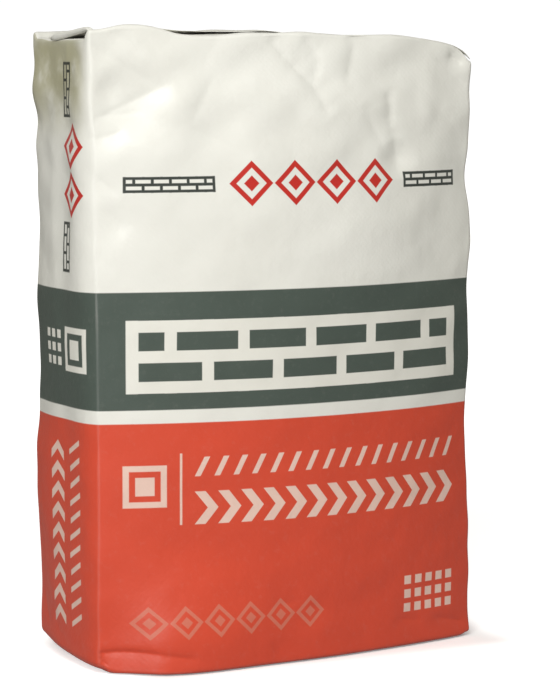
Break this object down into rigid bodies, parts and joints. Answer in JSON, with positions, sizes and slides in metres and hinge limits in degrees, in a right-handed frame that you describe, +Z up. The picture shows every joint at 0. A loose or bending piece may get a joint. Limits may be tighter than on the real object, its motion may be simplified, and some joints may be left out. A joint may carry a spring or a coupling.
{
  "type": "cement bag",
  "caption": "Filled block-bottom valve sack of cement standing on end, with folded ends, cover patches and a banded print.",
  "frame": {"origin": "middle of the footprint, on the floor that the sack stands on", "axes": "+Z up along the sack's length; the printed front panel faces -Y; the filling valve is at the upper end towards -X"},
  "size_m": [0.387, 0.203, 0.5607],
  "materials": {
    "printed_fabric": "coated woven fabric, satin, printed",
    "patch_fabric": "coated woven fabric, satin, bare",
    "sleeve_film": "thin film"
  },
  "bodies": {
    "root": {"sack_tube": "printed_fabric", "top_cover_patch": "patch_fabric", "foot_cover_patch": "patch_fabric", "valve_sleeve": "sleeve_film"}
  },
  "joints": []
}
